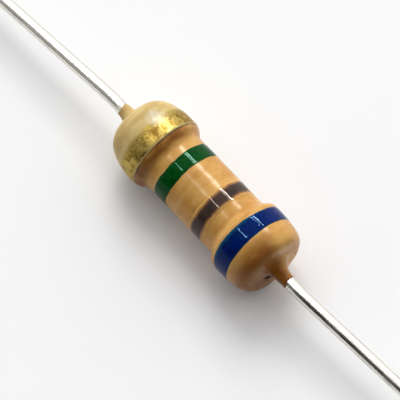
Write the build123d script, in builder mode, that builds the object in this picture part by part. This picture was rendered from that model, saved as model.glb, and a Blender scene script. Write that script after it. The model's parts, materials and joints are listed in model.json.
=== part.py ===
from build123d import *
from math import atan2, radians, tan
import os

# Half-watt carbon film resistor with axial leads, lying on a flat surface.
# +X runs along the body towards its first colour band, and +Z is up. The
# origin is on the surface, under the middle of the body. Sizes are in mm.

# Ceramic rod
rod_diameter = 2.30
rod_length = 7.22

# Carbon film on the rod, with the spiral groove that trims its value. The real
# film is far thinner, so this thickness stands in for it.
film_thickness = 0.03
groove_width = 0.16
groove_pitch = 0.46
groove_turns = 8

# Pressed steel end caps
cap_wall = 0.20
cap_length = 1.60
cap_corner_radius = 0.50
corner_clearance = 0.02  # from a cap's inner corner to the rod's rounded edge

# Lead wires, each with the upset foot that is welded to its cap
lead_diameter = 0.50
lead_reach = 26.0  # along X, from the coat to the wire's cut end
foot_diameter = 0.90
foot_thickness = 0.15
foot_fillet_radius = 0.06
straight_start = 0.05  # straight wire between the coat and its bend
bend_radius = 12.0

# Lacquer coat
coat_over_cap = 0.22
coat_over_film = 0.135
coat_over_end = 0.22
meniscus_length = 0.60  # how far the coat creeps along each lead
meniscus_spread = 0.15  # meniscus foot, outside the lead's foot
meniscus_tip_wall = 0.05
meniscus_hollow = 0.55

# Colour bands, a skin of paint thickened to be a solid
band_thickness = 0.03

# What differs between the two ends. The ramp falls from the bulge to the waist,
# and starts at ramp_start outside the cap's rim. The dome runs from the flat on
# the bulge to the end face, and is as full as its two shoulder values say.
first_end = dict(
    side=1,
    bulge_flat=0.12,
    shoulder_reach=1.00,
    shoulder_drop=0.79,
    ramp_start=0.17,
    ramp_length=0.57,
    lead_splay=4.2,  # degrees, away from the body's axis seen from above
)
tolerance_end = dict(
    side=-1,
    bulge_flat=0.04,
    shoulder_reach=0.82,
    shoulder_drop=0.57,
    ramp_start=0.03,
    ramp_length=0.68,
    lead_splay=3.4,
)
ends = {"first": first_end, "tolerance": tolerance_end}

# Fits that follow from the sizes above
rod_radius = rod_diameter / 2
film_radius = rod_radius + film_thickness
cap_radius = film_radius + cap_wall
rod_edge_radius = cap_corner_radius - cap_wall + corner_clearance
cap_face = rod_length / 2 + cap_wall
cap_rim = cap_face - cap_length
lead_radius = lead_diameter / 2
foot_radius = foot_diameter / 2
bulge_radius = cap_radius + coat_over_cap
waist_radius = film_radius + coat_over_film
coat_face = cap_face + coat_over_end
coat_tip = coat_face + meniscus_length
meniscus_radius = foot_radius + meniscus_spread
meniscus_tip_radius = lead_radius + meniscus_tip_wall
bend_start = coat_tip + straight_start
axis_height = bulge_radius + band_thickness

# Bands by name: the place of the middle along X, and the width. The outer two
# keep their distance from the end faces, and the inner two from the middle.
bands = {
    "band_first_digit": (coat_face - 1.255, 0.65),
    "band_second_digit": (1.03, 0.54),
    "band_multiplier": (-0.975, 0.65),
    "band_tolerance": (1.46 - coat_face, 0.84),
}

body_axis = Axis((0, 0, axis_height), (1, 0, 0))
half_section = Plane(origin=(0, 0, axis_height), x_dir=(1, 0, 0), z_dir=(0, -1, 0))
cross_section = Plane(origin=(0, 0, axis_height), z_dir=(1, 0, 0))


# The outlines below are drawn in the half section: distance along X, then
# distance from the body's axis. Each makes a face in the sketch that is open.


def coat_end_line(end, lift):
    # from the axis out to the end face, over the dome, and down to the waist
    side = end["side"]
    face = coat_face + lift
    bulge = bulge_radius + lift
    waist = waist_radius + lift
    ramp_top = cap_rim + end["ramp_start"]
    dome_start = ramp_top + end["bulge_flat"]
    ramp_bottom = ramp_top - end["ramp_length"]
    ramp_middle = (ramp_top + ramp_bottom) / 2
    reach = dome_start + end["shoulder_reach"] * (face - dome_start)
    drop = meniscus_radius + end["shoulder_drop"] * (bulge - meniscus_radius)
    Line((0, 0), (side * face, 0))
    Line((side * face, 0), (side * face, meniscus_radius))
    Bezier(
        (side * face, meniscus_radius),
        (side * face, drop),
        (side * reach, bulge),
        (side * dome_start, bulge),
    )
    Line((side * dome_start, bulge), (side * ramp_top, bulge))
    Bezier(
        (side * ramp_top, bulge),
        (side * ramp_middle, bulge),
        (side * ramp_middle, waist),
        (side * ramp_bottom, waist),
    )
    Line((side * ramp_bottom, waist), (0, waist))


def coat_outline(lift=0.0, mode=Mode.ADD):
    with BuildLine() as outline:
        for end in ends.values():
            coat_end_line(end, lift)
    make_face(outline.edges(), mode=mode)


def meniscus_outline(side):
    hollow = meniscus_hollow * meniscus_length
    drop = meniscus_hollow * (meniscus_radius - meniscus_tip_radius)
    with BuildLine() as outline:
        Bezier(
            (side * coat_face, meniscus_radius),
            (side * coat_face, meniscus_radius - drop),
            (side * (coat_tip - hollow), meniscus_tip_radius),
            (side * coat_tip, meniscus_tip_radius),
        )
        Polyline(
            (side * coat_tip, meniscus_tip_radius),
            (side * coat_tip, 0),
            (side * coat_face, 0),
            (side * coat_face, meniscus_radius),
        )
    make_face(outline.edges())


def cap_outline(side, mode=Mode.ADD):
    with BuildLine() as outline:
        FilletPolyline(
            (side * cap_rim, 0),
            (side * cap_rim, cap_radius),
            (side * cap_face, cap_radius),
            (side * cap_face, 0),
            radius=[0, cap_corner_radius],
        )
        Line((side * cap_face, 0), (side * cap_rim, 0))
    make_face(outline.edges(), mode=mode)


def cap_bore(side):
    with BuildLine() as outline:
        FilletPolyline(
            (side * cap_rim, 0),
            (side * cap_rim, film_radius),
            (side * rod_length / 2, film_radius),
            (side * rod_length / 2, 0),
            radius=[0, cap_corner_radius - cap_wall],
        )
        Line((side * rod_length / 2, 0), (side * cap_rim, 0))
    make_face(outline.edges(), mode=Mode.SUBTRACT)


def lead_root_outline(side, mode=Mode.ADD):
    # the welded foot and the straight wire that leaves the coat
    with BuildLine() as outline:
        FilletPolyline(
            (side * cap_face, 0),
            (side * cap_face, foot_radius),
            (side * (cap_face + foot_thickness), foot_radius),
            (side * (cap_face + foot_thickness), lead_radius),
            (side * bend_start, lead_radius),
            (side * bend_start, 0),
            radius=[0, foot_fillet_radius, foot_fillet_radius, 0],
        )
        Line((side * bend_start, 0), (side * cap_face, 0))
    make_face(outline.edges(), mode=mode)


def film_outline(mode=Mode.ADD):
    with Locations((0, film_radius / 2)):
        Rectangle(rod_length, film_radius, mode=mode)


os.makedirs("parts", exist_ok=True)


# Ceramic rod that carries the film
with BuildPart() as ceramic_rod:
    with BuildSketch(cross_section):
        Circle(rod_radius)
    extrude(amount=rod_length / 2, both=True)
    rod_edges = ceramic_rod.edges().filter_by(GeomType.CIRCLE).group_by(Axis.X)
    fillet(rod_edges[0] + rod_edges[-1], rod_edge_radius)
ceramic_rod.part.label = "ceramic_rod"
export_step(ceramic_rod.part, "parts/ceramic_rod.step")


# Carbon film sleeve, cut by the trimming groove between the caps
film_length = rod_length - 2 * rod_edge_radius
groove_span = groove_pitch * groove_turns
with BuildPart() as carbon_film:
    with BuildSketch(cross_section):
        Circle(film_radius)
        Circle(rod_radius, mode=Mode.SUBTRACT)
    extrude(amount=film_length / 2, both=True)
    with BuildLine():
        groove_line = Helix(
            pitch=groove_pitch,
            height=groove_span,
            radius=rod_radius + film_thickness / 2,
            center=(-groove_span / 2, 0, axis_height),
            direction=(1, 0, 0),
        )
    groove_out = (groove_line @ 0) - Vector(-groove_span / 2, 0, axis_height)
    with BuildSketch(Plane(groove_line @ 0, x_dir=groove_out, z_dir=groove_line % 0)):
        Rectangle(3 * film_thickness, groove_width)
    sweep(is_frenet=True, mode=Mode.SUBTRACT)
carbon_film.part.label = "carbon_film"
export_step(carbon_film.part, "parts/carbon_film.step")


# End caps, drawn from sheet and pressed over the film
for end_name, end in ends.items():
    with BuildPart() as end_cap:
        with BuildSketch(half_section):
            cap_outline(end["side"])
            cap_bore(end["side"])
        revolve(axis=body_axis)
    end_cap.part.label = end_name + "_end_cap"
    export_step(end_cap.part, "parts/" + end_cap.part.label + ".step")


# Lead wires. Each leaves straight, bends gently outwards and down, and its cut
# end touches the surface that the body lies on.
for end_name, end in ends.items():
    side = end["side"]
    splay = radians(end["lead_splay"])
    droop = atan2(axis_height - lead_radius, lead_reach)
    bend_corner = bend_start + bend_radius * tan((splay + droop) / 2)
    tip = coat_tip + lead_reach
    tip_offset = (tip - bend_corner) * tan(splay)
    with BuildPart() as lead:
        with BuildSketch(half_section):
            lead_root_outline(side)
        revolve(axis=body_axis)
        with BuildLine():
            FilletPolyline(
                (side * bend_start, 0, axis_height),
                (side * bend_corner, 0, axis_height),
                (side * tip, side * tip_offset, lead_radius),
                radius=bend_radius,
            )
        with BuildSketch(Plane((side * bend_start, 0, axis_height), z_dir=(side, 0, 0))):
            Circle(lead_radius)
        sweep()
    lead.part.label = end_name + "_end_lead"
    export_step(lead.part, "parts/" + lead.part.label + ".step")


# Lacquer coat over everything but the leads
with BuildPart() as lacquer_coat:
    with BuildSketch(half_section):
        coat_outline()
        for end in ends.values():
            meniscus_outline(end["side"])
        film_outline(mode=Mode.SUBTRACT)
        for end in ends.values():
            cap_outline(end["side"], mode=Mode.SUBTRACT)
            lead_root_outline(end["side"], mode=Mode.SUBTRACT)
    revolve(axis=body_axis)
lacquer_coat.part.label = "lacquer_coat"
export_step(lacquer_coat.part, "parts/lacquer_coat.step")


# Colour bands on the coat
for band_name, (band_middle, band_width) in bands.items():
    with BuildPart() as band:
        with BuildSketch(half_section):
            coat_outline(band_thickness)
            coat_outline(mode=Mode.SUBTRACT)
            with Locations((band_middle, bulge_radius)):
                Rectangle(band_width, bulge_radius, mode=Mode.INTERSECT)
        revolve(axis=body_axis)
    band.part.label = band_name
    export_step(band.part, "parts/" + band_name + ".step")
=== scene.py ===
import bpy
import bmesh
import json
import math
from mathutils import Matrix, Vector, noise
from mathutils.geometry import interpolate_bezier


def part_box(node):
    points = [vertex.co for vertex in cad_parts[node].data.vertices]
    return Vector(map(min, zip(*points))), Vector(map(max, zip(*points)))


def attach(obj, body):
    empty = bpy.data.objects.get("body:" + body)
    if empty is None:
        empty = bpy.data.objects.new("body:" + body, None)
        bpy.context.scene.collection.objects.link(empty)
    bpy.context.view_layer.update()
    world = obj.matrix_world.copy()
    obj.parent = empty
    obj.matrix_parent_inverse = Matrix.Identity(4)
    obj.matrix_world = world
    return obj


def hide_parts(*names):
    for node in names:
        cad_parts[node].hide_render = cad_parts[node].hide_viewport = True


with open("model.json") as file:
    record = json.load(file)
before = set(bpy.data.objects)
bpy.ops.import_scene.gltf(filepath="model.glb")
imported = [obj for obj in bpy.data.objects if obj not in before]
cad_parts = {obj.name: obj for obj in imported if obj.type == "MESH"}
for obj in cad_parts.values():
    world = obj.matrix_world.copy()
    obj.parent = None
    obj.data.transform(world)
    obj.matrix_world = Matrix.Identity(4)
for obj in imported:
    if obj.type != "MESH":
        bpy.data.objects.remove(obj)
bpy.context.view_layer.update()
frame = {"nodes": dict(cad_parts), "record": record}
nodes = frame["nodes"]
mm = 0.001

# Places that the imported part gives: the body's axis, the coat's ends and bulge, and the cap inside.
coatLow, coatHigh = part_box("lacquer_coat")
capLow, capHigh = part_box("first_end_cap")
filmLow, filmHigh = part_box("carbon_film")
bodyCentre = (coatLow + coatHigh) / 2
axisHeight = bodyCentre.z
coatTip = coatHigh.x
bulgeRadius = (coatHigh.z - coatLow.z) / 2
capRadius = (capHigh.z - capLow.z) / 2
filmRadius = (filmHigh.z - filmLow.z) / 2
leadMounts = {m["name"]: m for m in frame["record"]["mounts"]}
leadRadius = leadMounts["first_lead_pin"]["dims"]["r_mm"] * mm
print("frame loaded:", len(nodes), "nodes")


# ---- helpers for nodes and pieces

def addNode(tree, kind, inputs=None, **settings):
    node = tree.nodes.new(kind)
    for name, value in settings.items():
        setattr(node, name, value)
    for name, value in (inputs or {}).items():
        node.inputs[name].default_value = value
    return node


def newMaterial(name, shaderInputs):
    material = bpy.data.materials.new(name)
    material.use_nodes = True
    tree = material.node_tree
    shader = tree.nodes["Principled BSDF"]
    for key, value in shaderInputs.items():
        shader.inputs[key].default_value = value
    return material, tree, shader


def axisCoordinates(tree):
    # object coordinates measured from the middle of the body, with X along its axis
    place = addNode(tree, "ShaderNodeTexCoord")
    centred = addNode(tree, "ShaderNodeMapping", {"Location": (0, 0, -axisHeight)})
    tree.links.new(place.outputs["Object"], centred.inputs["Vector"])
    parts = addNode(tree, "ShaderNodeSeparateXYZ")
    tree.links.new(centred.outputs["Vector"], parts.inputs["Vector"])
    return centred.outputs["Vector"], parts


def noiseField(tree, vector, size, detail=2.0, roughness=0.5, stretch=(1, 1, 1)):
    # noise whose lumps are about size metres across, stretched along X, Y and Z
    fit = addNode(tree, "ShaderNodeMapping", {"Scale": tuple(1 / (size * s) for s in stretch)})
    tree.links.new(vector, fit.inputs["Vector"])
    field = addNode(tree, "ShaderNodeTexNoise", {"Scale": 1.0, "Detail": detail, "Roughness": roughness})
    tree.links.new(fit.outputs["Vector"], field.inputs["Vector"])
    return field.outputs["Fac"]


def ramp(tree, value, low, high, lowTo=0.0, highTo=1.0, smooth=True):
    # a value mapped from low..high to lowTo..highTo and held there outside
    mapped = addNode(tree, "ShaderNodeMapRange", {"From Min": low, "From Max": high, "To Min": lowTo, "To Max": highTo})
    mapped.interpolation_type = "SMOOTHSTEP" if smooth else "LINEAR"
    tree.links.new(value, mapped.inputs["Value"])
    return mapped.outputs["Result"]


def combine(tree, operation, first, second):
    node = addNode(tree, "ShaderNodeMath", operation=operation)
    for socket, value in zip(node.inputs, (first, second)):
        if isinstance(value, (int, float)):
            socket.default_value = value
        else:
            tree.links.new(value, socket)
    return node.outputs["Value"]


def mixColour(tree, share, first, second, blend="MIX"):
    node = addNode(tree, "ShaderNodeMix", data_type="RGBA", blend_type=blend)
    for socket, value in zip((node.inputs[0], node.inputs[6], node.inputs[7]), (share, first, second)):
        if isinstance(value, (int, float)):
            socket.default_value = value
        elif isinstance(value, tuple):
            socket.default_value = (*value, 1)
        else:
            tree.links.new(value, socket)
    return node.outputs[2]


def addBump(tree, shader, heights):
    # heights is a list of (field, metres); each one bumps the one before
    normal = None
    for field, distance in heights:
        bump = addNode(tree, "ShaderNodeBump", {"Distance": distance, "Strength": 1.0})
        tree.links.new(field, bump.inputs["Height"])
        if normal:
            tree.links.new(normal, bump.inputs["Normal"])
        normal = bump.outputs["Normal"]
    tree.links.new(normal, shader.inputs["Normal"])


def addPiece(name, mesh, material, replaced):
    mesh.materials.append(material)
    mesh.polygons.foreach_set("use_smooth", [True] * len(mesh.polygons))
    piece = bpy.data.objects.new(name, mesh)
    bpy.context.scene.collection.objects.link(piece)
    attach(piece, "root")
    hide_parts(*replaced)
    return piece


# ---- the shape of the dried lacquer

coatShape = {
    "lipWall": 0.018 * mm,         # lacquer on the wire where it ends
    "faceInset": 0.60 * mm,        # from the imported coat's tip back to its end face
    "waistRadius": 1.315 * mm,
    "aroundSteps": 168,
    # for each end: the flat on the bulge, the dome's fullness along and across, the ramp down to
    # the waist, and the radius and length of what creeps out along the wire
    "ends": (
        {"side": 1, "flat": 0.12 * mm, "reach": 1.00, "drop": 0.79, "rampStart": 0.17 * mm, "rampLength": 0.57 * mm,
         "root": 0.78 * mm, "creep": 0.80 * mm, "hollow": 0.50},
        {"side": -1, "flat": 0.04 * mm, "reach": 0.82, "drop": 0.57, "rampStart": 0.03 * mm, "rampLength": 0.68 * mm,
         "root": 0.60 * mm, "creep": 0.60 * mm, "hollow": 0.55},
    ),
    "lumpHeight": 0.016 * mm,
    "lumpLength": 1.1 * mm,
    "rippleHeight": 0.005 * mm,
    "rippleLength": 0.42 * mm,
    "endDent": 0.05 * mm,
    "lipRagged": 0.10 * mm,
    "tightSide": (0, -0.45, -0.89),    # where the first end's creep hardly spreads
    "tightness": 0.80,
    "lipSkew": 0.08 * mm,              # the first end's lip runs further out on its near side
    # a shrinkage slit beside the first end's wire: its place from the axis, direction and size
    "slit": {"at": (-0.33 * mm, -0.41 * mm), "along": (0.75, -0.66), "halfLength": 0.27 * mm,
             "halfWidth": 0.105 * mm, "depth": 0.10 * mm},
}


def curve(start, startHandle, endHandle, end, count):
    # points (distance along the axis, distance from it) on a cubic curve, without its first
    ends = [Vector((*p, 0)) for p in (start, startHandle, endHandle, end)]
    return [(p.x, p.y) for p in interpolate_bezier(*ends, count + 1)[1:]]


def straight(start, end, count):
    return [(start[0] + (end[0] - start[0]) * i / count, start[1] + (end[1] - start[1]) * i / count)
            for i in range(1, count + 1)]


def coatEndOutline(end):
    # from the waist, over the ramp and the dome, to the lip on the wire
    s = end["side"]
    face = coatTip - coatShape["faceInset"]
    tip = face + end["creep"]
    lip = leadRadius + coatShape["lipWall"]
    root = end["root"]
    waist = coatShape["waistRadius"]
    rampTop = capLow.x + end["rampStart"]
    rampBottom = rampTop - end["rampLength"]
    rampMiddle = (rampTop + rampBottom) / 2
    domeStart = rampTop + end["flat"]
    reach = domeStart + end["reach"] * (face - domeStart)
    drop = root + end["drop"] * (bulgeRadius - root)
    hollow = end["hollow"]
    points = [(s * rampBottom, waist)]
    points += curve((s * rampBottom, waist), (s * rampMiddle, waist),
                    (s * rampMiddle, bulgeRadius), (s * rampTop, bulgeRadius), 14)
    points += straight((s * rampTop, bulgeRadius), (s * domeStart, bulgeRadius), 3)
    points += curve((s * domeStart, bulgeRadius), (s * reach, bulgeRadius), (s * face, drop), (s * face, root), 34)
    points += curve((s * face, root), (s * face, root - hollow * (root - lip)),
                    (s * (tip - hollow * end["creep"]), lip), (s * tip, lip), 18)
    return points


def coatOutline():
    # the outer line from the tolerance end's lip to the first end's lip
    first, last = (coatEndOutline(end) for end in coatShape["ends"])
    return last[::-1] + straight(last[0], first[0], 56)[:-1] + first


def coreOutline():
    # the inner line, around wire, cap and film, from the first end back to the tolerance end
    corner = 0.5 * mm
    footRadius, footThickness = 0.45 * mm, 0.15 * mm
    face = capHigh.x
    half = [(face + footThickness, leadRadius), (face + footThickness, footRadius),
            (face, footRadius), (face, capRadius - corner)]
    half += curve((face, capRadius - corner), (face, capRadius - corner * 0.45),
                  (face - corner * 0.45, capRadius), (face - corner, capRadius), 6)
    half += [(capLow.x, capRadius), (capLow.x, filmRadius)]
    tips = [s["side"] * (coatTip - coatShape["faceInset"] + s["creep"]) for s in coatShape["ends"]]
    return [(tips[0], leadRadius)] + half + [(-x, r) for x, r in half[::-1]] + [(tips[1], leadRadius)]


outerLine = coatOutline()


def fade(value, low, high):
    t = min(max((value - low) / (high - low), 0), 1)
    return t * t * (3 - 2 * t)


def swell(point):
    # moves a point of the true outline to where the uneven lacquer lies
    out = Vector((0, point.y, point.z - axisHeight))
    radius = out.length
    if radius < leadRadius:
        return point
    out /= radius
    lumpAt = Vector((point.x / coatShape["lumpLength"], out.y * 1.3, out.z * 1.3))
    rippleAt = Vector((point.x / coatShape["rippleLength"] + 7, out.y * 3.4, out.z * 3.4))
    height = coatShape["lumpHeight"] * noise.noise(lumpAt) + coatShape["rippleHeight"] * noise.noise(rippleAt)
    height *= 1 - fade(abs(point.x), 3.2 * mm, 3.95 * mm)
    dent = coatShape["endDent"] * noise.noise(Vector((out.y * radius, out.z * radius, 9 * mm)) / (0.9 * mm))
    dent *= fade(abs(point.x), 3.2 * mm, 3.9 * mm) * fade(radius, leadRadius, 1.0 * mm)
    ragged = coatShape["lipRagged"] * noise.noise(Vector((point.x * 900, out.y * 1.7, out.z * 1.7)))
    dent += ragged * fade(abs(point.x), 4.25 * mm, 4.6 * mm)
    if point.x > 0:
        tight = coatShape["tightness"] * fade(out.dot(Vector(coatShape["tightSide"])), -0.3, 0.6)
        dent -= coatShape["lipSkew"] * out.y * fade(point.x, 4.1 * mm, 4.6 * mm)
        tight *= fade(point.x, 3.8 * mm, 4.0 * mm) * (1 - fade(radius, 0.72 * mm, 1.3 * mm))
        height -= tight * max(radius - leadRadius - coatShape["lipWall"], 0)
        slit = coatShape["slit"]
        off = Vector((point.y, point.z - axisHeight)) - Vector(slit["at"])
        along = Vector(slit["along"]).normalized()
        across = off - along * off.dot(along)
        reach = math.hypot(off.dot(along) / slit["halfLength"], across.length / slit["halfWidth"])
        dent -= slit["depth"] * (1 - fade(reach, 0.3, 1.3)) * fade(point.x, 3.8 * mm, 3.95 * mm)
    return point + out * height + Vector((math.copysign(1, point.x) * dent, 0, 0))


def spinOutline(points, steps, closed=True):
    # a closed ring of (x, radius) points spun about the body's axis into a solid
    shape = bmesh.new()
    corners = [shape.verts.new((x, 0, axisHeight + r)) for x, r in points]
    edges = [shape.edges.new(pair) for pair in zip(corners, corners[1:] + corners[:1])]
    bmesh.ops.spin(shape, geom=corners + edges, cent=(0, 0, axisHeight), axis=(1, 0, 0),
                   angle=2 * math.pi, steps=steps, use_merge=True)
    bmesh.ops.remove_doubles(shape, verts=shape.verts, dist=1e-8)
    bmesh.ops.recalc_face_normals(shape, faces=shape.faces)
    return shape


def toMesh(shape, name):
    mesh = bpy.data.meshes.new(name)
    shape.to_mesh(mesh)
    shape.free()
    return mesh


# ---- lacquer

lacquerLook = {
    "tan": (0.64, 0.355, 0.100),
    "tanDeep": (0.53, 0.245, 0.050),
    "tanRampShade": (0.28, 0.100, 0.016),  # painted shade on the ramp under the gold
    # painted shade inside the shrinkage slit
    "slitShade": (0.010, 0.006, 0.004),
    "stain": (0.11, 0.05, 0.012),      # painted shadow: the fine dark line beside the gold's edge
    "shadowLineWidth": 0.045 * mm,
    "pearl": (0.62, 0.46, 0.19),       # over the tolerance end
    "amber": (0.27, 0.090, 0.012),     # where it pools on the first end's wire, deepened by painted shade on its near side
    "roughness": 0.24,
    "pearlRoughness": 0.36,
    "pearlDeep": (0.50, 0.34, 0.115),
    # painted sheen on top of the tolerance end, and its centre
    "bloom": (0.66, 0.62, 0.47),
    "paintedSheenAt": (-3.05 * mm, 0.22 * mm, 1.32 * mm),
    "faceShadeBrown": (0.25, 0.092, 0.016),   # painted shade on the first end's face
    "streakSize": 0.8 * mm,
    "orangePeel": 0.004 * mm,
}


def addPaintedSheen(tree, vector, colour):
    # painted sheen: a paler, pearly patch on top of the tolerance end
    look = lacquerLook
    away = addNode(tree, "ShaderNodeVectorMath", {1: look["paintedSheenAt"]}, operation="DISTANCE")
    tree.links.new(vector, away.inputs[0])
    patch = combine(tree, "MULTIPLY", noiseField(tree, vector, 0.35 * mm, 4, 0.6), 0.7 * mm)
    share = ramp(tree, combine(tree, "ADD", away.outputs["Value"], patch), 0.95 * mm, 0.35 * mm, 0, 0.85)
    return mixColour(tree, share, colour, look["bloom"])


def makeLacquerMaterial():
    look = lacquerLook
    material, tree, shader = newMaterial("lacquer", {
        "Specular IOR Level": 0.22, "IOR": 1.5, "Specular Tint": (1.0, 0.91, 0.74, 1),
        "Subsurface Weight": 0.12, "Subsurface Scale": 0.25 * mm, "Subsurface Radius": (1.0, 0.45, 0.18),
    })
    vector, parts = axisCoordinates(tree)
    along = parts.outputs["X"]
    flat = addNode(tree, "ShaderNodeVectorMath", {1: (0, 1, 1)}, operation="MULTIPLY")
    tree.links.new(vector, flat.inputs[0])
    length = addNode(tree, "ShaderNodeVectorMath", operation="LENGTH")
    tree.links.new(flat.outputs[0], length.inputs[0])
    radius = length.outputs["Value"]
    mottle = noiseField(tree, vector, look["streakSize"], 3, 0.55, (0.5, 1, 1))
    colour = mixColour(tree, ramp(tree, mottle, 0.35, 0.7), look["tan"], look["tanDeep"])
    # painted shade on the ramp under the gold, deepest on the near side, which faces away from the light
    rampShade = combine(tree, "MULTIPLY", ramp(tree, along, -1.60 * mm, -1.95 * mm), ramp(tree, mottle, 0.3, 0.6, 0.5, 1.0))
    rampShade = combine(tree, "MULTIPLY", rampShade, ramp(tree, parts.outputs["Y"], 1.1 * mm, 0.3 * mm, 0.15, 1.0))
    colour = mixColour(tree, rampShade, colour, look["tanRampShade"])
    pearly = ramp(tree, along, -2.05 * mm, -2.9 * mm)
    colour = mixColour(tree, pearly, colour, mixColour(tree, ramp(tree, mottle, 0.35, 0.65), look["pearl"], look["pearlDeep"]))
    colour = addPaintedSheen(tree, vector, colour)
    # painted shade: the first end's face is browner on its near side
    faceShade = combine(tree, "MULTIPLY", ramp(tree, along, 3.05 * mm, 3.75 * mm), ramp(tree, parts.outputs["Y"], 0.55 * mm, -0.25 * mm))
    faceShade = combine(tree, "MULTIPLY", faceShade, ramp(tree, mottle, 0.25, 0.6, 0.65, 0.95))
    colour = mixColour(tree, faceShade, colour, look["faceShadeBrown"])
    # amber where the coat runs onto each wire, with painted shade making it deeper on the near side
    cloud = noiseField(tree, vector, 0.7 * mm, 3)
    blotch = combine(tree, "MULTIPLY", combine(tree, "SUBTRACT", cloud, 0.5), 1.1 * mm)
    poolAndShade = ramp(tree, combine(tree, "ADD", radius, blotch), 1.15 * mm, 0.42 * mm)
    endOnly = ramp(tree, combine(tree, "ABSOLUTE", along, 0), 3.5 * mm, 4.05 * mm)
    firstOnly = ramp(tree, along, -mm, mm, 0.12, 1.0)
    # painted shade: deeper on the near side
    nearSideShade = ramp(tree, parts.outputs["Y"], 0.30 * mm, -0.12 * mm, 0.25, 0.95)
    poolAndShade = combine(tree, "MULTIPLY", combine(tree, "MULTIPLY", poolAndShade, endOnly), firstOnly)
    poolAndShade = combine(tree, "MULTIPLY", poolAndShade, nearSideShade)
    colour = mixColour(tree, poolAndShade, colour, look["amber"])
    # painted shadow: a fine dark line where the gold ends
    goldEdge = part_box("band_tolerance")[1].x
    fromGold = combine(tree, "ABSOLUTE", combine(tree, "SUBTRACT", along, goldEdge + look["shadowLineWidth"] / 2), 0)
    shadowLine = ramp(tree, fromGold, look["shadowLineWidth"], look["shadowLineWidth"] * 0.4)
    shadowLine = combine(tree, "MULTIPLY", shadowLine, ramp(tree, mottle, 0.38, 0.58, 0.2, 0.9))
    colour = mixColour(tree, shadowLine, colour, look["stain"])
    # painted shade inside the slit
    slit = coatShape["slit"]
    direction = Vector(slit["along"]).normalized()
    inSlit = addNode(tree, "ShaderNodeMapping", {
        "Location": (0, -slit["at"][0], -slit["at"][1])})
    tree.links.new(vector, inSlit.inputs["Vector"])
    measures = []
    for side, size in (((0, direction.x, direction.y), slit["halfLength"]), ((0, -direction.y, direction.x), slit["halfWidth"])):
        dot = addNode(tree, "ShaderNodeVectorMath", {1: side}, operation="DOT_PRODUCT")
        tree.links.new(inSlit.outputs["Vector"], dot.inputs[0])
        scaled = combine(tree, "DIVIDE", dot.outputs["Value"], size)
        measures.append(combine(tree, "MULTIPLY", scaled, scaled))
    torn = combine(tree, "MULTIPLY", combine(tree, "SUBTRACT", noiseField(tree, vector, 0.09 * mm, 3, 0.6), 0.5), 1.7)
    slitShadeMask = ramp(tree, combine(tree, "ADD", combine(tree, "ADD", *measures), torn), 1.15, 0.35)
    slitShadeMask = combine(tree, "MULTIPLY", slitShadeMask, ramp(tree, along, 3.8 * mm, 3.9 * mm))
    colour = mixColour(tree, slitShadeMask, colour, look["slitShade"])
    tree.links.new(colour, shader.inputs["Base Color"])
    satin = ramp(tree, pearly, 0, 1, look["roughness"], look["pearlRoughness"], smooth=False)
    satin = combine(tree, "ADD", satin, ramp(tree, mottle, 0.3, 0.7, -0.03, 0.05))
    satin = combine(tree, "MAXIMUM", satin, combine(tree, "MULTIPLY", slitShadeMask, 0.95))
    tree.links.new(satin, shader.inputs["Roughness"])
    peel = noiseField(tree, vector, 0.22 * mm, 2)
    addBump(tree, shader, [(peel, look["orangePeel"])])
    return material


def makeCoat():
    shape = spinOutline(outerLine + coreOutline(), coatShape["aroundSteps"])
    for vert in shape.verts:
        r = math.hypot(vert.co.y, vert.co.z - axisHeight)
        inside = r < capRadius + 0.01 * mm and abs(vert.co.x) < capHigh.x + 0.01 * mm
        if abs(vert.co.x) < capLow.x - 0.001 * mm:
            inside = r < filmRadius + 0.05 * mm
        if abs(vert.co.x) > capHigh.x - 0.01 * mm:
            inside = r < 0.47 * mm and abs(vert.co.x) < capHigh.x + 0.17 * mm or r < leadRadius + 0.001 * mm
            inside = inside or r < capRadius - 0.49 * mm and abs(vert.co.x) < capHigh.x + 0.01 * mm
        if not inside:
            vert.co = swell(vert.co)
    return addPiece("lacquerCoat", toMesh(shape, "lacquerCoat"), makeLacquerMaterial(), ["lacquer_coat"])


makeCoat()
print("lacquer coat made")


# ---- colour bands

bandLooks = {
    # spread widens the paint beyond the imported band: towards -X, then towards +X. lobe pushes the
    # -X edge further out on one side of the body.
    "band_first_digit": {
        "slot": "first_digit_paint", "paint": (0.0005, 0.010, 0.110), "paintEdge": (0.001, 0.050, 0.115),
        "shine": (0.32, 0.70, 1.0), "roughness": 0.055, "height": 0.015 * mm, "waver": 0.025 * mm, "seed": 3.0,
        "spread": (0.02 * mm, 0.0), "lobe": 0.11 * mm, "lobeSide": (0, -0.57, 0.82),
    },
    "band_second_digit": {
        "slot": "second_digit_paint", "paint": (0.052, 0.031, 0.025), "paintEdge": (0.34, 0.15, 0.055),
        "shine": (1.0, 0.80, 0.70), "roughness": 0.075, "height": 0.010 * mm, "waver": 0.040 * mm, "seed": 11.0,
        "spread": (0.10 * mm, 0.12 * mm), "lobe": 0.0, "lobeSide": (0, 0, 1),
    },
    "band_multiplier": {
        "slot": "multiplier_paint", "paint": (0.0005, 0.058, 0.004), "paintEdge": (0.001, 0.070, 0.026),
        "shine": (0.45, 1.0, 0.72), "roughness": 0.055, "height": 0.015 * mm, "waver": 0.030 * mm, "seed": 23.0,
        "spread": (0.0, 0.0), "lobe": 0.0, "lobeSide": (0, 0, 1),
    },
    "band_tolerance": {
        "slot": "tolerance_paint", "paint": (0.47, 0.345, 0.085), "paintEdge": (0.19, 0.095, 0.012),
        # painted highlight along the gold's raised inner edge
        "rim": (0.56, 0.43, 0.18),
        "shine": (1.0, 0.9, 0.7), "roughness": 0.30, "height": 0.020 * mm, "waver": 0.020 * mm, "seed": 37.0,
        "spread": (0.16 * mm, 0.0), "lobe": 0.0, "lobeSide": (0, 0, 1),
    },
}


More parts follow.
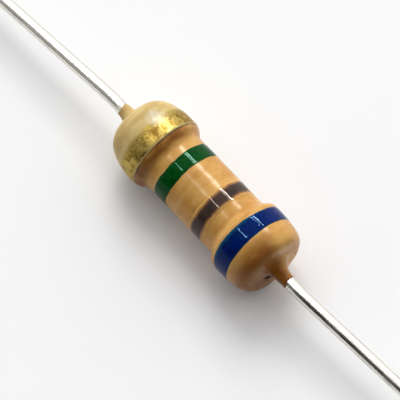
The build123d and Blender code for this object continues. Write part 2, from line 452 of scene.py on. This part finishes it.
def radiusAt(x):
    # the coat's outline radius at a distance along the axis, away from the end faces
    for (x0, r0), (x1, r1) in zip(outerLine, outerLine[1:]):
        if x0 <= x <= x1 and x1 > x0:
            return r0 + (r1 - r0) * (x - x0) / (x1 - x0)
    return bulgeRadius


def bandEdges(node, look):
    low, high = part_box(node)
    return low.x - look["spread"][0], high.x + look["spread"][1]


def makeBandMesh(node, look):
    start, end = bandEdges(node, look)
    width = end - start
    count = 20
    top = []
    for i in range(count + 1):
        across = i / count
        x = start + width * across
        # a low bead of paint, with an edge that has just enough height to show
        lift = look["height"] * (0.12 + 0.88 * (1 - (2 * across - 1) ** 2) ** 0.7)
        if node == "band_tolerance":
            # the gold thins to nothing towards the end and is full at its inner edge
            lift = look["height"] * (1.3 * fade(across, -0.15, 0.5) - 0.3 - 0.5 * fade(across, 0.93, 1.0))
        top.append((x, radiusAt(x) + lift))
    under = [(x, radiusAt(x) - 0.012 * mm) for x, r in top[::4][::-1]]
    shape = spinOutline(top + under, coatShape["aroundSteps"])
    middle = (start + end) / 2
    for vert in shape.verts:
        out = Vector((0, vert.co.y, vert.co.z - axisHeight)).normalized()
        side = (vert.co.x - middle) / (width / 2)
        seed = look["seed"] + 5 * (side > 0)
        shift = look["waver"] * (noise.noise(Vector((seed, out.y * 1.8, out.z * 1.8)))
                                 + 0.5 * noise.noise(Vector((seed, out.y * 6, out.z * 6))))
        if side < 0:
            shift -= look["lobe"] * max(out.dot(Vector(look["lobeSide"])), 0) ** 3
        lift = (vert.co.yz - Vector((0, axisHeight))).length - radiusAt(vert.co.x)
        x = vert.co.x + shift * abs(side) ** 2
        vert.co = swell(Vector((x, 0, axisHeight)) + out * (radiusAt(x) + lift))
    return toMesh(shape, node)


def makePaintMaterial(name, look, start, end):
    # glossy paint, thinner and of another shade towards both edges
    material, tree, shader = newMaterial(name, {
        "Roughness": look["roughness"], "Specular IOR Level": 0.12, "IOR": 1.5, "Specular Tint": (*look["shine"], 1),
    })
    vector, parts = axisCoordinates(tree)
    half = (end - start) / 2
    fromMiddle = combine(tree, "ABSOLUTE", combine(tree, "SUBTRACT", parts.outputs["X"], (start + end) / 2), 0)
    patch = noiseField(tree, vector, 0.5 * mm, 3)
    reach = combine(tree, "ADD", fromMiddle, combine(tree, "MULTIPLY", patch, 0.10 * mm))
    edge = ramp(tree, reach, half - 0.03 * mm, half + 0.07 * mm)
    pigment = ramp(tree, noiseField(tree, vector, 0.16 * mm, 4, 0.6), 0.35, 0.65, 0.75, 1.2)
    colour = mixColour(tree, edge, look["paint"], look["paintEdge"])
    shade = addNode(tree, "ShaderNodeVectorMath", operation="SCALE")
    tree.links.new(colour, shade.inputs[0])
    tree.links.new(pigment, shade.inputs["Scale"])
    tree.links.new(shade.outputs[0], shader.inputs["Base Color"])
    addBump(tree, shader, [(noiseField(tree, vector, 0.3 * mm, 2), 0.005 * mm)])
    return material


def makeSoftBandMaterial(name, look, start, end):
    # thin ink that runs out into the lacquer at both edges
    material, tree, shader = newMaterial(name, {
        "Roughness": look["roughness"], "Specular IOR Level": 0.20, "IOR": 1.5, "Specular Tint": (*look["shine"], 1),
    })
    vector, parts = axisCoordinates(tree)
    half = (end - start) / 2
    fromMiddle = combine(tree, "ABSOLUTE", combine(tree, "SUBTRACT", parts.outputs["X"], (start + end) / 2), 0)
    patch = noiseField(tree, vector, 0.35 * mm, 3, 0.6)
    reach = combine(tree, "ADD", fromMiddle, combine(tree, "MULTIPLY", combine(tree, "SUBTRACT", patch, 0.5), 0.14 * mm))
    stain = ramp(tree, reach, half - 0.22 * mm, half - 0.06 * mm)
    cloud = ramp(tree, noiseField(tree, vector, 0.3 * mm, 3), 0.35, 0.65)
    colour = mixColour(tree, cloud, look["paint"], tuple(0.72 * c for c in look["paint"]))
    colour = mixColour(tree, stain, colour, look["paintEdge"])
    clear = ramp(tree, reach, half - 0.14 * mm, half - 0.02 * mm)
    colour = mixColour(tree, clear, colour, lacquerLook["tan"])
    tree.links.new(colour, shader.inputs["Base Color"])
    addBump(tree, shader, [(noiseField(tree, vector, 0.3 * mm, 2), 0.005 * mm)])
    return material


def makeGoldMaterial(name, look, start, end):
    # bronze flakes in clear binder, thinning out towards the end of the body
    material, tree, shader = newMaterial(name, {"Specular IOR Level": 0.26, "IOR": 1.5,
                                                "Specular Tint": (*look["shine"], 1)})
    vector, parts = axisCoordinates(tree)
    along = parts.outputs["X"]
    flakes = noiseField(tree, vector, 0.070 * mm, 2, 0.6)
    clumps = noiseField(tree, vector, 0.30 * mm, 4, 0.65)
    mixed = combine(tree, "ADD", combine(tree, "MULTIPLY", flakes, 0.35), combine(tree, "MULTIPLY", clumps, 0.65))
    colour = mixColour(tree, ramp(tree, mixed, 0.38, 0.58), look["paintEdge"], look["paint"])
    # the outer edge breaks up into specks, and a painted highlight makes the inner edge a clean pale line
    outer = combine(tree, "ADD", along, combine(tree, "MULTIPLY", combine(tree, "SUBTRACT", mixed, 0.5), 0.9 * mm))
    cover = ramp(tree, outer, start + 0.04 * mm, start + 0.32 * mm)
    colour = mixColour(tree, cover, lacquerLook["pearl"], colour)
    colour = addPaintedSheen(tree, vector, colour)
    uneven = combine(tree, "MULTIPLY", combine(tree, "SUBTRACT", clumps, 0.5), 0.16 * mm)
    rim = ramp(tree, combine(tree, "ADD", along, uneven), end - 0.085 * mm, end - 0.035 * mm)
    colour = mixColour(tree, rim, colour, look["rim"])
    tree.links.new(colour, shader.inputs["Base Color"])
    metal = combine(tree, "MULTIPLY", cover, ramp(tree, along, end - 0.045 * mm, end - 0.07 * mm))
    tree.links.new(combine(tree, "MULTIPLY", metal, 0.80), shader.inputs["Metallic"])
    grain = ramp(tree, flakes, 0.3, 0.7, -0.06, 0.10)
    satin = ramp(tree, metal, 0, 1, lacquerLook["pearlRoughness"], look["roughness"] + 0.05)
    tree.links.new(combine(tree, "ADD", satin, combine(tree, "MULTIPLY", grain, metal)), shader.inputs["Roughness"])
    addBump(tree, shader, [(flakes, 0.008 * mm), (clumps, 0.010 * mm)])
    return material


bandMaterials = {
    "band_first_digit": makePaintMaterial,
    "band_second_digit": makeSoftBandMaterial,
    "band_multiplier": makePaintMaterial,
    "band_tolerance": makeGoldMaterial,
}

for node, look in bandLooks.items():
    words = node.split("_")
    name = words[0] + "".join(w.capitalize() for w in words[1:])
    material = bandMaterials[node](look["slot"], look, *bandEdges(node, look))
    addPiece(name, makeBandMesh(node, look), material, [node])
print("colour bands made")


# ---- lead wires

leadShape = {
    "segments": 32,
    "bendSteps": 12,
    "runSteps": 24,
    "footRadius": 0.45 * mm,
    "footThickness": 0.15 * mm,
    "cutBevel": 0.05 * mm,
}


def makeLeadMesh(name, mount):
    # from the cut end: the straight run, the bend back onto the body's axis, then the root and its foot
    run = Vector(mount["axis"]).normalized()
    middle = Vector(mount["pos_m"])
    half = mount["dims"]["length_mm"] * mm / 2
    tip = middle + run * half
    bendEnd = middle - run * half
    side = 1 if run.x > 0 else -1
    inward = Vector((-side, 0, 0))
    turn = (-run).angle(inward)
    sideways = Vector((0, bendEnd.y, bendEnd.z - axisHeight))
    # on a round bend the offset from the axis is radius times (1 - cos turn)
    bendRadius = sideways.length / (1 - math.cos(turn))
    hinge = (-run).cross(inward).normalized()
    centre = bendEnd + hinge.cross(-run) * bendRadius
    shape = bmesh.new()
    place = Matrix.Translation(tip) @ run.to_track_quat("Z", "Y").to_matrix().to_4x4()
    bmesh.ops.create_circle(shape, segments=leadShape["segments"], radius=leadRadius, cap_ends=False, matrix=place)
    endRing = shape.edges[:]
    edges = endRing
    for _ in range(leadShape["runSteps"]):
        made = bmesh.ops.extrude_edge_only(shape, edges=edges)["geom"]
        edges = [g for g in made if isinstance(g, bmesh.types.BMEdge)]
        verts = [g for g in made if isinstance(g, bmesh.types.BMVert)]
        bmesh.ops.translate(shape, verts=verts, vec=-run * (2 * half / leadShape["runSteps"]))
    made = bmesh.ops.spin(shape, geom=edges, cent=centre, axis=hinge, angle=turn, steps=leadShape["bendSteps"])["geom_last"]
    edges = [g for g in made if isinstance(g, bmesh.types.BMEdge)]
    verts = [g for g in made if isinstance(g, bmesh.types.BMVert)]
    here = sum((v.co for v in verts), Vector()) / len(verts)
    # along the axis to the foot, out, and onto the cap
    footFront = side * (capHigh.x + leadShape["footThickness"])
    for goal, radius in ((footFront, leadRadius), (footFront, leadShape["footRadius"]), (side * capHigh.x, leadShape["footRadius"])):
        made = bmesh.ops.extrude_edge_only(shape, edges=edges)["geom"]
        edges = [g for g in made if isinstance(g, bmesh.types.BMEdge)]
        verts = [g for g in made if isinstance(g, bmesh.types.BMVert)]
        now = sum((v.co for v in verts), Vector()) / len(verts)
        for v in verts:
            out = (v.co - now).normalized() * radius
            v.co = Vector((goal, out.y, axisHeight + out.z))
    bmesh.ops.holes_fill(shape, edges=[e for e in shape.edges if e.is_boundary], sides=0)
    cut = [e for e in shape.edges if all((v.co - tip).length < leadRadius * 1.01 for v in e.verts)]
    bmesh.ops.bevel(shape, geom=cut, offset=leadShape["cutBevel"], offset_type="OFFSET", segments=3,
                    profile=0.5, affect="EDGES", material=-1)
    bmesh.ops.recalc_face_normals(shape, faces=shape.faces)
    return toMesh(shape, name)


leadLook = {
    "tin": (0.77, 0.74, 0.67),
    "dull": (0.56, 0.54, 0.50),
    "roughness": 0.20,
    "dullRoughness": 0.34,
}


def makeLeadMaterial():
    look = leadLook
    material, tree, shader = newMaterial("tinnedWire", {"Metallic": 1.0})
    vector, parts = axisCoordinates(tree)
    drawn = noiseField(tree, vector, 0.06 * mm, 3, 0.6, (16, 1, 1))
    patches = noiseField(tree, vector, 0.5 * mm, 4, 0.65, (2.5, 1, 1))
    dull = ramp(tree, patches, 0.48, 0.72)
    tree.links.new(mixColour(tree, dull, look["tin"], look["dull"]), shader.inputs["Base Color"])
    tree.links.new(ramp(tree, patches, 0.35, 0.7, look["roughness"], look["dullRoughness"]), shader.inputs["Roughness"])
    addBump(tree, shader, [(drawn, 0.0016 * mm), (noiseField(tree, vector, 0.25 * mm, 2, 0.5), 0.002 * mm)])
    return material


wireMaterial = makeLeadMaterial()
for name, node, mount in (("firstEndLead", "first_end_lead", "first_lead_pin"),
                          ("toleranceEndLead", "tolerance_end_lead", "tolerance_lead_pin")):
    addPiece(name, makeLeadMesh(name, leadMounts[mount]), wireMaterial, [node])
print("leads made")


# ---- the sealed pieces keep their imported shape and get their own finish

coreLook = {
    "ceramic": (0.80, 0.78, 0.72),
    "ceramicSpeck": (0.62, 0.58, 0.50),
    "film": (0.030, 0.031, 0.036),
    "cap": (0.60, 0.59, 0.56),
    "capDull": (0.40, 0.38, 0.34),
}


def makeCeramicMaterial():
    material, tree, shader = newMaterial("ceramic", {"Roughness": 0.62})
    vector, parts = axisCoordinates(tree)
    speck = ramp(tree, noiseField(tree, vector, 0.05 * mm, 3), 0.58, 0.70)
    tree.links.new(mixColour(tree, speck, coreLook["ceramic"], coreLook["ceramicSpeck"]), shader.inputs["Base Color"])
    addBump(tree, shader, [(noiseField(tree, vector, 0.04 * mm, 3), 0.003 * mm)])
    return material


def makeFilmMaterial():
    material, tree, shader = newMaterial("carbonFilm", {"Metallic": 0.25})
    vector, parts = axisCoordinates(tree)
    cloud = noiseField(tree, vector, 0.4 * mm, 4)
    tree.links.new(mixColour(tree, cloud, coreLook["film"], (0.075, 0.075, 0.08)), shader.inputs["Base Color"])
    tree.links.new(ramp(tree, cloud, 0.3, 0.7, 0.24, 0.42), shader.inputs["Roughness"])
    return material


def makeCapMaterial():
    material, tree, shader = newMaterial("platedCap", {"Metallic": 1.0})
    vector, parts = axisCoordinates(tree)
    drawn = noiseField(tree, vector, 0.08 * mm, 3, 0.6, (8, 1, 1))
    stain = ramp(tree, noiseField(tree, vector, 0.6 * mm, 4), 0.45, 0.7)
    tree.links.new(mixColour(tree, stain, coreLook["cap"], coreLook["capDull"]), shader.inputs["Base Color"])
    tree.links.new(ramp(tree, drawn, 0.3, 0.7, 0.25, 0.40), shader.inputs["Roughness"])
    addBump(tree, shader, [(drawn, 0.004 * mm)])
    return material


capMaterial = makeCapMaterial()
for node, material in (("ceramic_rod", makeCeramicMaterial()), ("carbon_film", makeFilmMaterial()),
                       ("first_end_cap", capMaterial), ("tolerance_end_cap", capMaterial)):
    nodes[node].data.materials.clear()
    nodes[node].data.materials.append(material)
print("sealed pieces finished")


# ---- floor, light and camera

studio = {
    "floorSize": 6.0,
    "floorColour": (0.85, 0.85, 0.855),
    "floorGlow": 0.07,
    "brightSide": (-0.60, 0.58, 0.55),  # where the soft light comes from
    "darkSide": (0.50, -0.75, 0.42),    # the unlit quarter of the room
    "skyBright": 1.28,
    "skyDark": 0.20,
    "skyFrom": -0.20,
    "skyTo": 0.95,
    "darkFrom": 0.42,
    "darkTo": 0.74,
    "darkDepth": 0.93,
    "cardSide": (-0.52, -0.76, 0.38),   # a pale card low on the near side
    "cardFrom": 0.955,
    "cardTo": 0.990,
    "cardBright": 0.75,
    "horizon": 0.93,
    "lampDistance": 0.45,
    # lamps: direction, width across the body, length along it, power. The strips only make highlights.
    "softLamp": ("soft", (-0.55, 0.44, 0.71), 0.24, 0.24, 1.05),
    "strips": (
        ("keyUpper", (-0.322, 0.590, 0.741), 0.012, 0.115, 0.80),
        ("keyLower", (-0.322, 0.500, 0.804), 0.005, 0.090, 0.26),
        ("side", (-0.322, -0.234, 0.918), 0.006, 0.080, 0.25),
    ),
}


def makeFloor():
    shape = bmesh.new()
    bmesh.ops.create_grid(shape, x_segments=1, y_segments=1, size=studio["floorSize"] / 2)
    floor = bpy.data.objects.new("floor", toMesh(shape, "floor"))
    bpy.context.scene.collection.objects.link(floor)
    material, tree, shader = newMaterial("floor", {"Roughness": 0.85, "Specular IOR Level": 0.2,
                                                   "Base Color": (*studio["floorColour"], 1)})
    # a little glow keeps the floor pale where something looks at it
    path = addNode(tree, "ShaderNodeLightPath")
    seen = combine(tree, "MAXIMUM", path.outputs["Is Camera Ray"],
                   combine(tree, "MAXIMUM", path.outputs["Is Glossy Ray"], path.outputs["Is Transmission Ray"]))
    shader.inputs["Emission Color"].default_value = (1, 1, 1, 1)
    tree.links.new(combine(tree, "MULTIPLY", seen, studio["floorGlow"]), shader.inputs["Emission Strength"])
    floor.data.materials.append(material)


def makeSky():
    world = bpy.data.worlds.new("studio")
    bpy.context.scene.world = world
    world.use_nodes = True
    tree = world.node_tree
    background = tree.nodes["Background"]
    background.inputs["Color"].default_value = (1, 1, 1, 1)
    place = addNode(tree, "ShaderNodeTexCoord")
    towards = []
    for side in ("brightSide", "darkSide", "cardSide"):
        dot = addNode(tree, "ShaderNodeVectorMath", operation="DOT_PRODUCT")
        tree.links.new(place.outputs["Generated"], dot.inputs[0])
        dot.inputs[1].default_value = Vector(studio[side]).normalized()
        towards.append(dot.outputs["Value"])
    glow = ramp(tree, towards[0], studio["skyFrom"], studio["skyTo"], studio["skyDark"], studio["skyBright"])
    unlit = ramp(tree, towards[1], studio["darkFrom"], studio["darkTo"], 1, 1 - studio["darkDepth"])
    glow = combine(tree, "MULTIPLY", glow, unlit)
    card = ramp(tree, towards[2], studio["cardFrom"], studio["cardTo"], 0, studio["cardBright"])
    glow = combine(tree, "MAXIMUM", glow, card)
    path = addNode(tree, "ShaderNodeLightPath")
    seen = addNode(tree, "ShaderNodeMix", data_type="FLOAT")
    tree.links.new(path.outputs["Is Camera Ray"], seen.inputs[0])
    tree.links.new(glow, seen.inputs[2])
    seen.inputs[3].default_value = studio["horizon"]
    tree.links.new(seen.outputs[0], background.inputs["Strength"])


def addLamp(name, direction, width, length, power, lightsRoom=False):
    light = bpy.data.lights.new(name, "AREA")
    light.shape = "RECTANGLE"
    light.size = length
    light.size_y = width
    light.energy = power
    lamp = bpy.data.objects.new(name, light)
    back = Vector(direction).normalized()
    along = (Vector((1, 0, 0)) - back * back.x).normalized()
    place = Matrix((along, back.cross(along), back)).transposed().to_4x4()
    place.translation = bodyCentre + back * studio["lampDistance"]
    lamp.matrix_world = place
    lamp.visible_camera = False
    lamp.visible_diffuse = lightsRoom
    lamp.visible_glossy = not lightsRoom
    bpy.context.scene.collection.objects.link(lamp)


cameraPlace = {
    "towards": (0.322, -0.279, 0.905),
    "distance": 206 * mm,
    "lens": 495,
    "aimRight": -0.142 * mm,
    "aimUp": -0.248 * mm,
}


def makeCamera():
    towards = Vector(cameraPlace["towards"]).normalized()
    turned = towards.to_track_quat("Z", "Y")
    right = turned @ Vector((1, 0, 0))
    up = turned @ Vector((0, 1, 0))
    data = bpy.data.cameras.new("camera")
    data.lens = cameraPlace["lens"]
    data.sensor_width = 36
    data.clip_start = 0.01
    data.clip_end = 20
    camera = bpy.data.objects.new("camera", data)
    aim = bodyCentre + right * cameraPlace["aimRight"] + up * cameraPlace["aimUp"]
    camera.location = aim + towards * cameraPlace["distance"]
    camera.rotation_euler = turned.to_euler()
    bpy.context.scene.collection.objects.link(camera)
    bpy.context.scene.camera = camera


makeFloor()
makeSky()
addLamp(*studio["softLamp"], lightsRoom=True)
for strip in studio["strips"]:
    addLamp(*strip)
makeCamera()
bpy.context.scene.view_settings.view_transform = "Standard"
print("studio made")
